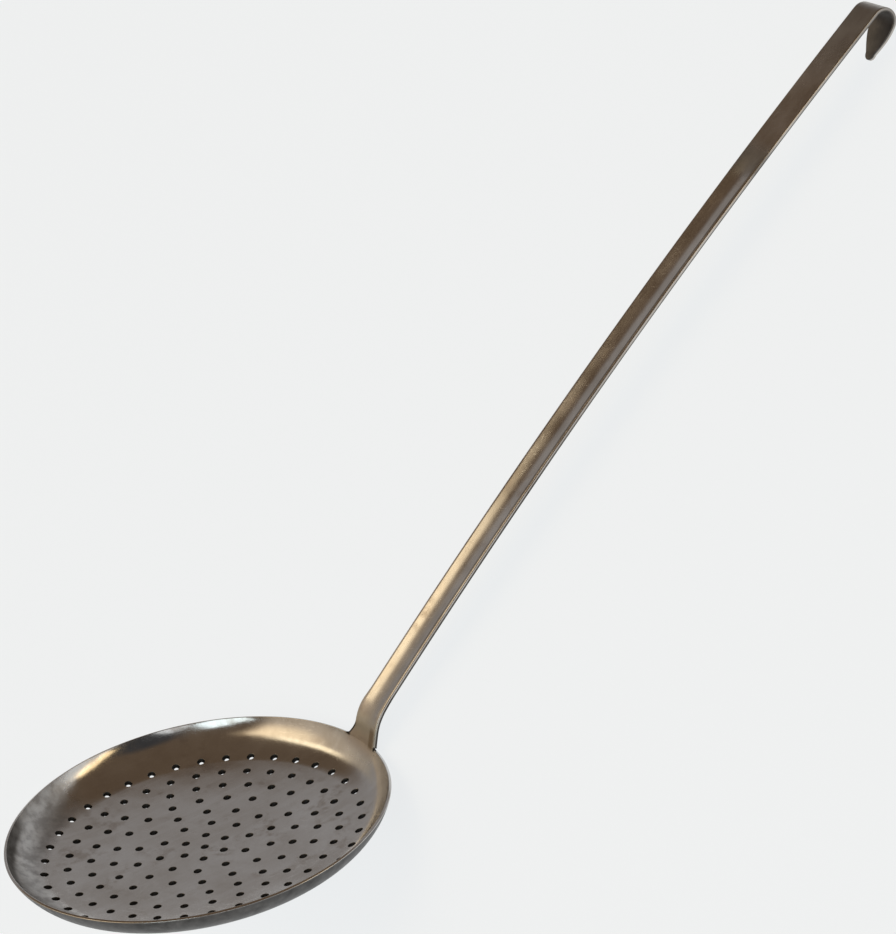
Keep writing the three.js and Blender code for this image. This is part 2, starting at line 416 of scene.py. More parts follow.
@dataclass(frozen=True)
class SteelFinish:
    """Stainless steel with rubbed lines, haze, scratches, stains and scrapes, and painted shade where marks
    lay it.

    drawn holds how fine the rubbed lines are along and across their direction, in turns for each millimetre,
    and lay is the angle of that direction in the plane of the coordinates that are read. rub is how high the
    lines stand, haze how fine the cloudy patches are, and wave how strongly the sheet is dented.
    """

    name: str
    bright: Colour
    dull: Colour
    roughness: float
    drawn: Point
    lay: float
    rub: float
    haze: float
    wave: float
    stain: Colour
    # Colour of the painted shade on outer faces and undersides.
    underside_shade: Colour
    stained: float = 0.45
    # A scraped grey that also stands in as painted shade, dulling the wall's reflection of the floor.
    scrape_and_shade: Colour = (0.26, 0.255, 0.255)
    scratch: Colour = (0.86, 0.85, 0.83)
    # Near-black colour of the painted shade in the holes.
    painted_shade: Colour = (0.006, 0.0055, 0.005)
    heat_and_shade: HeatTintAndShade = HeatTintAndShade()

    def material(self, lines_mark: str) -> bpy.types.Material:
        """Makes the material.

        Args:
            lines_mark: Mark of the mesh whose coordinates the rubbed lines follow.

        Returns:
            The finished material.
        """
        made = bpy.data.materials.new(self.name)
        made.use_nodes = True
        shader = Shader(made.node_tree)
        place = shader.mark("place")
        path = shader.mark(lines_mark)
        lines = shader.noise(shader.turned(path, self.lay, self.drawn), 1.0, 3.0, 0.6)
        wisps = shader.noise(shader.turned(path, self.lay + 4.0, (0.012, 0.21, 0.21)), 1.0, 3.0)
        haze = shader.noise(place, self.haze, 4.0, 0.55)
        mottle = shader.noise(place, 0.16, 5.0, 0.6)
        scratches = self.scratches(shader, path)
        stains = shader.noise(place, 0.045, 2.0).rise(0.50, 0.68) * mottle.rise(0.40, 0.64)
        tone = shader.blend((haze - 0.5) * 1.9 + 0.5, opaque(self.dull), opaque(self.bright))
        # Scrapes on the wall away from the handle, which also darken it as painted shade.
        scraped_and_shaded = shader.mark("scraped_and_shaded", "Fac") * (0.65 + mottle.rise(0.35, 0.65) * 0.35)
        layers = (
            (wisps.rise(0.46, 0.72) * 0.30, self.bright),
            ((mottle.rise(0.50, 0.70) | lines.rise(0.52, 0.72)) * 0.26, self.dull),
            (stains * self.stained, self.stain),
            (scratches * 0.35, self.scratch),
            (scraped_and_shaded * 0.85, self.scrape_and_shade),
        )
        # Heat colours, then painted shade at the joint and wherever the dark mark is set.
        tone, dark_shade, oxide = self.heat_and_shade.paint(shader, shader.coats(tone, layers), place)
        # Painted shade on the outer faces and undersides.
        outer_shade = shader.mark("outer_shade", "Fac")
        # Painted near-black shade down the holes' bores.
        hole_shade = shader.mark("hole_shade", "Fac")
        tone = shader.coats(tone, ((outer_shade * (0.80 + mottle * 0.3), self.underside_shade), (hole_shade, self.painted_shade)))
        roughened = (
            (haze - 0.5, 0.16), (mottle - 0.5, 0.10), (lines - 0.5, 0.08), (stains, 0.06), (outer_shade, 0.26),
            (dark_shade, 0.30), (hole_shade, 0.40), (oxide, 0.14), (scraped_and_shaded, 0.30),
        )
        rough = sum((mask * weight for mask, weight in roughened), self.roughness)
        waved = shader.bump(self.wave, 0.0006, Height=shader.noise(place, 0.042, 1.5))
        bump = shader.bump(0.12, 0.00008, Height=lines * self.rub - scratches * 0.8, Normal=waved)
        look = {"Base Color": tone, "Metallic": 1.0, "Roughness": rough, "Normal": bump}
        steel = shader.add("ShaderNodeBsdfPrincipled", sockets=look)
        shader.add("ShaderNodeOutputMaterial", sockets={"Surface": steel})
        return made

    def scratches(self, shader: Shader, path: Value) -> Value:
        """Thin broken scratches: crests of stretched noise in three directions, kept where a patch allows."""
        total = None
        for angle, fine in ((self.lay + 11.0, 2.6), (self.lay - 27.0, 3.4), (self.lay + 63.0, 3.0)):
            crest = shader.noise(shader.turned(path, angle, (0.035, fine, fine)), 1.0, 0.0).rise(0.735, 0.80)
            patch = shader.noise(shader.turned(path, angle, (0.05, 0.05, 0.05)), 1.0, 1.0).rise(0.45, 0.62)
            total = crest * patch if total is None else total | crest * patch
        return total


# Pieces


class SteelPiece(ABC):
    """A piece of the tool: what it is called and stands for, its surface and its finish."""

    name: str
    node: str
    slot: Slot
    lines_mark: str = "place"
    pose: RestPose
    finish: SteelFinish

    @abstractmethod
    def skin(self) -> Skin:
        """Works out the surface."""

    def build(self) -> bpy.types.Object:
        """Makes the piece, dresses it and sets it in the frame, in place of its solid."""
        piece = self.skin().piece(self.name, self.pose)
        piece.data.materials.append(self.finish.material(self.lines_mark))
        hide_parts(self.node)
        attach(piece, "root")
        return piece


@dataclass
class PerforatedDish(SteelPiece):
    """The dish: sheet pressed to a flat middle, a shallow dome and a rounded wall, punched with holes.

    rings holds the number of holes of each ring and its turn from the handle in degrees. The lip fields
    follow the profile of a hole from the inner to the outer face. hole_tapers and collars hold a value for
    the inner rings and one for the outermost. shade_bands holds bands of painted shade high on the wall:
    the azimuth in degrees, the distance from the middle and the height at which each starts, and its strength.
    """

    name = "skimmer_dish"
    node = "perforated_dish"
    slot = Slot.DISH

    pose: RestPose
    rim_radius: float = 98.590461
    flat_radius: float = 20.0
    floor_arc: float = 430.0
    wall_arc: float = 24.0
    rim_round: float = 0.35
    seam_radius: float = 86.6
    columns: int = 256
    wall_rows: int = 18
    edge_rows: int = 5
    floor_circles: Pair = (79.0, 85.5)
    floor_points: int = 152
    hole_radius: float = 2.1
    hole_tapers: Pair = (0.55, 0.90)
    collars: Pair = (1.0, 0.45)
    hole_sides: int = 16
    lip_lean: tuple[float, ...] = (0.0, 66.0, 92.0, 160.0, 180.0)
    # Shares of painted shade by step of a hole's profile: near-black down the bore, darker on the outer steps.
    lip_hole_shade: tuple[float, ...] = (0.0, 0.9, 1.0, 0.6, 0.0)
    lip_underside_shade: tuple[float, ...] = (0.0, 0.0, 0.0, 0.5, 0.5)
    lip_width: float = 0.16
    lip_drop: float = 0.12
    collar_inset: float = 0.05
    collar_flare: float = 0.50
    # Share of painted shade on the floor's outer face.
    floor_underside_shade: float = 0.5
    # Bands of painted shade high on the wall opposite the handle.
    shade_bands: tuple[tuple[float, float, float, float], ...] = ((170.0, 77.0, 12.0, 0.7), (200.0, 80.0, 6.0, 0.5))
    ring_pitch: float = 11.74
    rings: tuple[tuple[int, float], ...] = (
        (1, 0.0), (6, 0.0), (10, 18.0), (14, 9.4), (20, 12.0), (26, 11.6), (32, 9.9), (38, 6.8)
    )
    finish: SteelFinish = SteelFinish(
        name="dish_sheet_steel", bright=(0.65, 0.645, 0.64), dull=(0.45, 0.415, 0.38),
        roughness=0.16, drawn=(0.05, 1.9, 1.9), lay=-4.0, rub=1.0, haze=0.026, wave=0.55,
        stain=(0.30, 0.25, 0.21), underside_shade=(0.055, 0.053, 0.051),
    )

    @property
    def wall_start(self) -> float:
        """Radius where the dome runs into the wall, from the two arcs being tangent there."""
        share = self.wall_arc / self.floor_arc
        wall = self.wall_arc * math.sin(RIM_SLOPE)
        return (self.rim_radius - wall - share * self.flat_radius) / (1.0 - share)

    def face(self, radius: Array) -> tuple[Array, Array]:
        """Height and slope of the inner face over a plan radius.

        The sine of the slope grows evenly with the radius, by one over the dome's arc and then by one over
        the wall's arc. Each arc rises by its radius times the loss of the slope's cosine.

        Args:
            radius: Plan radii.

        Returns:
            Heights and slopes.
        """
        dome = np.clip(radius - self.flat_radius, 0.0, self.wall_start - self.flat_radius) / self.floor_arc
        sine = np.minimum(dome + np.maximum(radius - self.wall_start, 0.0) / self.wall_arc, 1.0)
        dome_cosine = np.sqrt(1.0 - dome**2)
        cosine = np.sqrt(1.0 - sine**2)
        height = self.floor_arc * (1.0 - dome_cosine) + self.wall_arc * (dome_cosine - cosine)
        return height, np.arcsin(sine)

    def sink(self, plan: Array, depth: Array) -> tuple[Array, Array]:
        """Points at a depth below the inner face, square to it, and the face's normals there.

        Args:
            plan: Plan points, with two numbers each in the last axis.
            depth: Depth of each point.

        Returns:
            Points and normals in the dish's frame.
        """
        radius = np.maximum(np.linalg.norm(plan, axis=-1), 1e-6)
        height, slope = self.face(radius)
        outward = plan / radius[..., None]
        normal = np.concatenate((-np.sin(slope)[..., None] * outward, np.cos(slope)[..., None]), axis=-1)
        surface = np.concatenate((plan, height[..., None]), axis=-1)
        return surface - depth[..., None] * normal, normal

    def hole_centres(self) -> Array:
        """Plan centres of all holes: rings at even radii, each turned by its own angle from the handle."""
        rows = []
        for number, (holes, turn) in enumerate(self.rings):
            azimuth = math.radians(turn) + even_angles(holes)
            rows.append(number * self.ring_pitch * spokes(azimuth))
        return np.concatenate(rows)

    def lips(self) -> tuple[Array, Array, Array]:
        """Surfaces of the holes.

        A short profile is carried round each hole: from the inner face over a rounded lip, down the narrowing
        bore, round the end of the collar that the punch drew out, and onto the outer face.

        Returns:
            Plan points of the lips on the inner face, and points and normals of the whole profile, each by
            hole, step of the profile and side.
        """
        outermost = self.rings[-1][0]
        counts = (sum(holes for holes, _ in self.rings) - outermost, outermost)
        taper = np.repeat(self.hole_tapers, counts)
        through = SHEET + np.repeat(self.collars, counts)
        same = np.ones_like(through)
        inset, flare = self.collar_inset * same, self.collar_flare * same
        widening = (self.lip_width * same, 0.0 * same, -taper, -inset, flare)
        depth = (0.0 * same, self.lip_drop * same, through - self.lip_drop, through, SHEET * same)
        spoke = spokes(even_angles(self.hole_sides))
        reach = (self.hole_radius + np.stack(widening, axis=-1))[:, :, None, None]
        plan = self.hole_centres()[:, None, None, :] + reach * spoke[None, None, :, :]
        sunk = np.broadcast_to(np.stack(depth, axis=-1)[:, :, None], plan.shape[:3])
        points, face_normal = self.sink(plan, sunk)
        inward = np.concatenate((-spoke, np.zeros((self.hole_sides, 1))), axis=-1)
        bend = np.radians(self.lip_lean)[None, :, None, None]
        normals = unit(np.cos(bend) * face_normal + np.sin(bend) * inward[None, None, :, :])
        return plan[:, 0], points, normals

    def wall(self) -> tuple[Array, Array]:
        """Points and normals of the wall, by row and column, turned about the dish's axis.

        The rows run up the inner face, over the rounded edges of the rim and down the outer face.
        """
        seam_slope = float(self.face(np.array(self.seam_radius))[1])
        rise = np.linspace(seam_slope, RIM_SLOPE, self.wall_rows + 1)[:-1]
        flat = np.zeros(rise.size)
        corner = np.linspace(0.0, QUARTER_TURN, self.edge_rows)
        edge_back = self.rim_round * (1.0 - np.sin(corner))
        edge_below = self.rim_round * (1.0 - np.cos(corner))
        back = np.concatenate((edge_back, edge_back[::-1]))
        below = np.concatenate((edge_below, SHEET - edge_below[::-1]))
        lean = np.concatenate((corner, math.pi - corner[::-1]))
        slope = np.concatenate((rise, np.full(back.size, RIM_SLOPE), rise[::-1]))
        fall = np.concatenate((flat, back, flat))
        depth = np.concatenate((flat, below, flat + SHEET))
        bend = np.concatenate((flat, lean, flat + math.pi))
        wall_sine = (self.wall_start - self.flat_radius) / self.floor_arc
        radius = self.wall_start + self.wall_arc * (np.sin(slope) - wall_sine)
        height, _ = self.face(radius)
        spoke = spokes(even_angles(self.columns))

        def around(out: Array, up: Array) -> Array:
            """Carries a profile of radii and heights round the axis."""
            level = np.broadcast_to(up[:, None, None], (up.size, self.columns, 1))
            return np.concatenate((out[:, None, None] * spoke, level), axis=-1)

        sine, cosine = np.sin(slope), np.cos(slope)
        out = radius - fall * cosine + depth * sine
        up = height - fall * sine - depth * cosine
        normal_out = -np.cos(bend) * sine + np.sin(bend) * cosine
        normal_up = np.cos(bend) * cosine + np.sin(bend) * sine
        return around(out, up), around(normal_out, normal_up)

    def floor_triangles(self, loops: Array, extra: Array) -> Array:
        """Triangles of the floor between the lips of the holes and the seam with the wall.

        A triangle with all three corners on the lip of one hole lies inside that hole and is left out.

        Args:
            loops: Plan points of the lips, by hole and side.
            extra: Further plan points, of which the last ones are the seam's circle.

        Returns:
            Rows of three point numbers, anticlockwise from above. The lips' points count first.
        """
        plan = np.concatenate((loops.reshape(-1, 2), extra))
        holes, sides = loops.shape[:2]
        corner = np.arange(holes * sides).reshape(holes, sides)
        circle = np.arange(len(plan) - self.columns, len(plan))
        lip_edges = np.stack((corner, np.roll(corner, -1, axis=1)), axis=-1).reshape(-1, 2)
        seam_edges = np.stack((circle, np.roll(circle, -1)), axis=-1)
        edges = np.concatenate((lip_edges, seam_edges))
        made = delaunay_2d_cdt([Vector(point) for point in plan.tolist()], edges.tolist(), [], 1, 1e-6)
        origin = np.array([sources[0] for sources in made[3]])
        triangles = origin[np.array(made[2])]
        owner = np.where(triangles < corner.size, triangles // sides, -1)
        in_hole = (owner[:, 0] >= 0) & (owner == owner[:, :1]).all(axis=1)
        triangles = triangles[~in_hole]
        corners = plan[triangles]
        first, second = corners[:, 1] - corners[:, 0], corners[:, 2] - corners[:, 0]
        turns_left = first[:, 0] * second[:, 1] - first[:, 1] * second[:, 0] > 0.0
        return np.where(turns_left[:, None], triangles, triangles[:, ::-1])

    def shade_and_scrapes(self, points: Array, lips: tuple[int, ...], between: int) -> dict[str, Array]:
        """Marks: painted shade in the holes and on the outer faces, and scrapes on the wall away from the
        handle, partly painted shade, crossed by bands of painted shade.

        Args:
            points: Points of the lips, of the floor's two faces and of the wall, in this order.
            lips: Numbers of holes, of steps of a hole's profile and of its sides.
            between: Number of further points on each face of the floor.

        Returns:
            The marks by name.
        """
        lip_count = math.prod(lips)
        wall_first = lip_count + 2 * between
        over_rim = np.linspace(0.0, 1.0, (len(points) - wall_first) // self.columns)
        # Painted near-black shade down the holes, and painted shade on their outer steps.
        lip_hole_shade, lip_underside_shade = (
            np.broadcast_to(np.array(steps)[None, :, None], lips).ravel()
            for steps in (self.lip_hole_shade, self.lip_underside_shade)
        )
        # Painted shade on the wall's outer face, half as strong near the seam.
        wall_underside_shade = eased(over_rim, 0.55, 0.61) * (1.0 - 0.5 * eased(over_rim, 0.86, 1.0))
        floor_underside_shade = np.repeat((0.0, self.floor_underside_shade), between)
        outer_shade = np.concatenate((lip_underside_shade, floor_underside_shade, np.repeat(wall_underside_shade, self.columns)))
        hole_shade = np.concatenate((lip_hole_shade, np.zeros(len(points) - lip_count)))
        rim_rows = eased(over_rim, 0.41, 0.45)
        rim_face = np.concatenate((np.zeros(wall_first), np.repeat(rim_rows, self.columns)))
        inside = 1.0 - np.maximum(outer_shade, rim_face)
        # Scrapes on the wall away from the handle, partly painted shade that dulls its reflection there.
        scraped_and_shaded = eased(-points[:, 0], 20.0, 52.0) * eased(points[:, 2], 3.9, 5.8) * inside
        dark_shade = np.zeros(len(points))
        # Bands of painted shade high on the wall opposite the handle.
        for azimuth, reach, height, strength in self.shade_bands:
            turn = math.radians(azimuth)
            out = points[:, 0] * math.cos(turn) + points[:, 1] * math.sin(turn)
            shade_band = eased(out, reach, reach + 11.0) * eased(points[:, 2], height, height + 3.5)
            dark_shade = np.maximum(dark_shade, strength * shade_band * inside)
        return {"hole_shade": hole_shade, "outer_shade": outer_shade, "scraped_and_shaded": scraped_and_shaded, "dark_shade": dark_shade}

    def skin(self) -> Skin:
        """Joins the lips, both faces of the floor and the wall to one closed surface."""
        loops, lip_points, lip_normals = self.lips()
        holes, steps, sides = lip_points.shape[:3]
        circle = spokes(even_angles(self.floor_points))
        between = np.concatenate([radius * circle for radius in self.floor_circles])
        seam = self.seam_radius * spokes(even_angles(self.columns))
        triangles = self.floor_triangles(loops, np.concatenate((between, seam)))
        above, normal = self.sink(between, np.zeros(len(between)))
        below, _ = self.sink(between, np.full(len(between), SHEET))
        wall_points, wall_normals = self.wall()
        wall_rows = len(wall_points)
        lip_count = holes * steps * sides
        numbers = np.arange(lip_count).reshape(holes, steps, sides)
        wall_first = lip_count + 2 * len(between)
        inner_ring = wall_first + np.arange(self.columns)
        outer_ring = inner_ring + (wall_rows - 1) * self.columns
        between_inner = lip_count + np.arange(len(between))
        inner = np.concatenate((numbers[:, 0].ravel(), between_inner, inner_ring))
        outer = np.concatenate((numbers[:, -1].ravel(), between_inner + len(between), outer_ring))
        lip_quads = grid_quads(steps, sides)[None] + (np.arange(holes) * steps * sides)[:, None, None]
        wall_quads = grid_quads(wall_rows, self.columns, wall_first)[:, ::-1]
        faces = [*lip_quads.reshape(-1, 4).tolist(), *wall_quads.tolist()]
        faces += [*inner[triangles].tolist(), *outer[triangles[:, ::-1]].tolist()]
        points = np.concatenate((lip_points.reshape(-1, 3), above, below, wall_points.reshape(-1, 3)))
        normals = np.concatenate((lip_normals.reshape(-1, 3), normal, -normal, wall_normals.reshape(-1, 3)))
        return Skin(points, normals, faces, self.shade_and_scrapes(points, numbers.shape, len(between)))


@dataclass
class HandleStrip(SteelPiece):
    """The handle: one strip, spread at its foot, bent at the neck, grooved on the grip, turned to a hook."""

    name = "skimmer_handle"
    node = "handle_strip"
    slot = Slot.HANDLE
    lines_mark = "strip"

    pose: RestPose
    width: float = 19.3
    edge_round: float = 0.65
    foot_gap: float = 1.8
    foot_rise: float = 6.6
    foot_spread: Pair = (4.6, 0.5)
    foot_curve: float = 1.6
    neck_swell: float = 0.8
    neck_swell_end: float = 28.0
    neck_bend: float = 25.9
    grip_slope: float = math.radians(40.5)
    grip_length: float = 447.7
    grip_bow: float = math.radians(6.86)
    flat_length: float = 95.5
    groove_depth: float = 1.05
    groove_margin: float = 1.7
    groove_runout: float = 24.0
    groove_end: float = 20.0
    groove_lag: float = 5.0
    crease_soft: float = 0.05
    hook_radius: float = 7.1
    hook_turn: float = math.radians(158.8)
    hook_return: float = 20.5
    tip_taper: float = 20.5
    tip_radius: float = 3.6
    tip_gap: float = 0.012
    tip_sections: int = 15
    sections: tuple[int, ...] = (21, 15, 160, 41, 21)
    finish: SteelFinish = SteelFinish(
        name="handle_strip_steel", bright=(0.63, 0.595, 0.56), dull=(0.43, 0.385, 0.34),
        roughness=0.19, drawn=(0.03, 2.4, 2.4), lay=0.0, rub=0.3, haze=0.05, wave=0.22,
        stain=(0.33, 0.235, 0.165), underside_shade=(0.13, 0.122, 0.115), stained=0.3,
    )

    @property
    def foot_hollow(self) -> float:
        """Depth of the rim's curve over the strip's width, which the foot is hollowed to."""
        return (self.width / 2.0) ** 2 / (2.0 * RIM[0])

    @property
    def neck_turn(self) -> float:
        """Angle that the neck bends by."""
        return RIM_SLOPE - self.grip_slope

    @property
    def hook_start(self) -> float:
        """Distance from the foot to where the hook's bend starts."""
        return self.foot_rise + self.neck_bend * self.neck_turn + self.grip_length

    @property
    def groove_stop(self) -> float:
        """Distance from the foot to where the groove has run out."""
        return self.hook_start - self.flat_length

    def path(self) -> BentPath:
        """Middle line of the strip's edges, from the foot to the tip of the hook."""
        cosine, sine = math.cos(RIM_SLOPE), math.sin(RIM_SLOPE)
        lift = self.foot_hollow - STRIP / 2.0
        start = (
            RIM[0] + self.foot_gap * cosine - lift * sine,
            RIM[1] + self.foot_gap * sine + lift * cosine,
        )
        stretches = (
            (self.foot_rise, 0.0),
            (self.neck_bend * self.neck_turn, self.neck_turn),
            (self.grip_length, self.grip_bow),
            (self.hook_radius * self.hook_turn, self.hook_turn),
            (self.hook_return, 0.0),
        )
        return BentPath(start, RIM_SLOPE, stretches)

    def stations(self, path: BentPath) -> Array:
        """Distances of the cross sections: close at the foot, hook and round tip, wider on the grip."""
        ends = np.cumsum([length for length, _ in path.stretches])
        tip = self.tip_radius * (1.0 - np.sin(np.linspace(0.0, QUARTER_TURN, self.tip_sections)))
        stops = (-self.foot_gap, *ends[:-1], ends[-1] - self.tip_radius)
        parts = zip(stops, stops[1:], self.sections)
        runs = [np.linspace(low, high, count)[:-1] for low, high, count in parts]
        return np.concatenate((*runs, ends[-1] - np.maximum(tip, self.tip_gap)))

    def half_widths(self, run: Array, left: Array) -> Array:
        """Widths from the middle line to the left and right edge.

        Each is spread out at the foot by a power of the height that is left, swollen at the neck, then
        parallel, tapered by a sine, and round at the tip.

        Args:
            run: Distances from the foot.
            left: Distances from the end of the tip.

        Returns:
            Two rows of widths.
        """
        taper = np.clip((left - self.tip_radius) / (self.tip_taper - self.tip_radius), 0.0, 1.0)
        body = (self.width / 2.0 - self.tip_radius) * np.sin(taper * QUARTER_TURN)
        short = np.minimum(left, self.tip_radius)
        body = body + np.sqrt(self.tip_radius**2 - (self.tip_radius - short) ** 2)
        body = body + self.neck_swell * eased(self.neck_swell_end - run, 0.0, 0.5 * self.neck_swell_end)
        height = np.clip((self.foot_rise - run) / (self.foot_rise + self.foot_gap), 0.0, 1.0)
        return body[None, :] + np.outer(self.foot_spread, height**self.foot_curve)

    def outline(self) -> tuple[Array, Array, Array, Array]:
        """One cross section before the groove, anticlockwise seen along the strip.

        Returns:
            The share of the flat half width, the offset beyond it, the height and the angle of the normal,
            for each point round the section.
        """
        edge, rise = self.edge_round, STRIP / 2.0 - self.edge_round
        corner = np.linspace(0.0, QUARTER_TURN, 6)
        margin = np.concatenate(((0.95,), np.linspace(0.90, 0.82, 5)))
        across = np.concatenate((margin, np.linspace(0.74, -0.74, 15), -margin[::-1]))
        side = np.linspace(-rise, rise, 7)[1:-1]
        rounds, flats, sides = np.ones_like(corner), np.ones_like(across), np.ones_like(side)
        right = (corner - QUARTER_TURN, 0.0 * sides, corner, QUARTER_TURN * flats)
        angle = np.concatenate((*right, *(part + math.pi for part in right)))
        half_share = np.concatenate((rounds, sides, rounds, across))
        half_level = np.concatenate((-rise * rounds, side, rise * rounds, rise * flats))
        share = np.concatenate((half_share, -half_share))
        level = np.concatenate((half_level, -half_level))
        beyond = edge * np.cos(angle)
        height = level + edge * np.sin(angle)
        return share, beyond, height, angle

    def dark_shade(self, run: Array, level: Array, across: Array, height: Array) -> Array:
        """Places of painted shade.

        These are the foot's left edge, the lower half of the right side at the bend and low down, the groove's
        right crease, and two bands across the strip, towards the hook's bend and where the groove ends.

        Args:
            run: Distances from the foot, in one column.
            level: Places across the strip before it is sunk to the groove.
            across: Places across the strip.
            height: Heights in the cross section.

        Returns:
            The mark of each point, from 0 to 1.
        """
        to_left, to_right = self.half_widths(run[:, 0], self.path().length - run[:, 0])[..., None]
        # Painted shade along the foot's left edge and on the lower half of the right side's rounding.
        foot_edge = eased(across - (to_left - 2.2), 0.0, 1.2) * (1.0 - eased(run, 3.0, 6.5))
        right_side = eased(-across - (to_right - 0.7), 0.0, 0.4) * eased(-height, -0.55, 0.1)
        bend_side = right_side * (1.0 - eased(np.abs(run - 22.0), 4.0, 10.0))
        low_side = 0.8 * right_side * (1.0 - eased(run, 150.0, 260.0))
        # Painted shade in the groove's right crease.
        from_crease = np.abs(level + self.width / 2.0 - self.groove_margin)
        in_crease = (1.0 - eased(from_crease, 0.1, 0.45)) * eased(height, 0.0, 0.4)
        hook, stop = self.hook_start, self.groove_stop
        painted_shade = in_crease * 0.65 * eased(run, 15.0, 60.0) * (1.0 - eased(run, stop - 34.0, stop - 14.0))
        # Bands of painted shade towards the hook's bend and at the groove's end.
        on_hook = 0.46 * eased(run, hook - 70.0, hook + 4.0) * (1.0 - eased(run, hook + 13.0, hook + 24.0))
        at_groove = 0.52 * (1.0 - eased(np.abs(run - stop + 7.0), 3.0, 14.0))
        places = (foot_edge, bend_side, low_side, painted_shade, on_hook, at_groove)
        return np.maximum.reduce(np.broadcast_arrays(*places))

    def groove(self, run: Array, aside: Array) -> tuple[Array, Array]:
        """How deep the sheet is sunk, and how steeply that changes across it.

        At the foot it is a parabola that follows the rim. Along the grip it is a parabola between two flat
        margins, met in a soft crease: the mean of the parabola and of its size, with a little added under the
        root. Its far end is round, because it runs out sooner towards the margins.

        Args:
            run: Distances from the foot.
            aside: Distances from the middle line.

        Returns:
            Depths, and slopes of the sheet across it.
        """
        half = self.width / 2.0
        foot = self.foot_hollow * (1.0 - eased(run, 0.0, self.groove_runout))
        inner = half - self.groove_margin
        bowl = 1.0 - (aside / inner) ** 2
        soft = np.sqrt(bowl**2 + self.crease_soft**2)
        sooner = self.groove_lag * np.minimum((aside / inner) ** 2, 1.0)
        ending = eased(self.groove_stop - sooner - run, 0.0, self.groove_end)
        grip = self.groove_depth * eased(run, 0.0, self.groove_runout) * ending
        depth = foot * (1.0 - (aside / half) ** 2) + grip * 0.5 * (bowl + soft)
        slope = foot * 2.0 * aside / half**2 + grip * aside / inner**2 * (1.0 + bowl / soft)
        return depth, slope

    def skin(self) -> Skin:
        """Carries the cross section along the path and sinks it by the groove.

        The middle of the sheet sinks by the groove. A point then lies off that curved middle, square to it,
        by its height in the section.
        """
        path = self.path()
        run = self.stations(path)
        middle, heading = path.follow(run)
        to_left, to_right = self.half_widths(run, path.length - run)
        half, shift = 0.5 * (to_left + to_right), 0.5 * (to_left - to_right)
        share, beyond, height, angle = self.outline()
        slim = np.minimum(1.0, half / (2.0 * self.edge_round))
        flat_half = half - self.edge_round * slim
        level = shift[:, None] + flat_half[:, None] * share[None, :] + slim[:, None] * beyond[None, :]
        sunk, steepness = self.groove(run[:, None], level)
        lean = np.arctan(steepness)
        across = level - height[None, :] * np.sin(lean)
        up = height[None, :] * np.cos(lean) - sunk
        aside = np.array((0.0, 1.0, 0.0))
        zero = np.zeros_like(heading)
        upward = np.stack((-np.sin(heading), zero, np.cos(heading)), axis=-1)
        onward = np.stack((np.cos(heading), zero, np.sin(heading)), axis=-1)
        base = np.stack((middle[:, 0], zero, middle[:, 1]), axis=-1)
        points = base[:, None, :] + across[..., None] * aside + up[..., None] * upward[:, None, :]
        normal_across = np.cos(angle[None, :] + lean)
        normal_up = np.sin(angle[None, :] + lean)
        flat_normal = normal_across[..., None] * aside + normal_up[..., None] * upward[:, None, :]
        travel = np.gradient(points, axis=0)
        climb = np.sum(travel * flat_normal, axis=-1)
        advance = np.sum(travel * onward[:, None, :], axis=-1)
        slope = np.clip(climb / np.maximum(advance, 1e-4), -6.0, 6.0)
        normals = unit(flat_normal - slope[..., None] * onward[:, None, :])
        faces = tube_faces(*points.shape[:2])
        strip = np.stack((np.broadcast_to(run[:, None], across.shape), across, up), axis=-1)
        # Painted shade on the strip's underside.
        under = np.broadcast_to(eased(-height, 0.05, 0.55)[None, :], across.shape)
        marks = {
            "strip": strip.reshape(-1, 3),
            "outer_shade": under.ravel(),
            # The strip's painted shade.
            "dark_shade": self.dark_shade(run[:, None], level, across, height[None, :]).ravel(),
        }
        return Skin(points.reshape(-1, 3), normals.reshape(-1, 3), faces, marks)


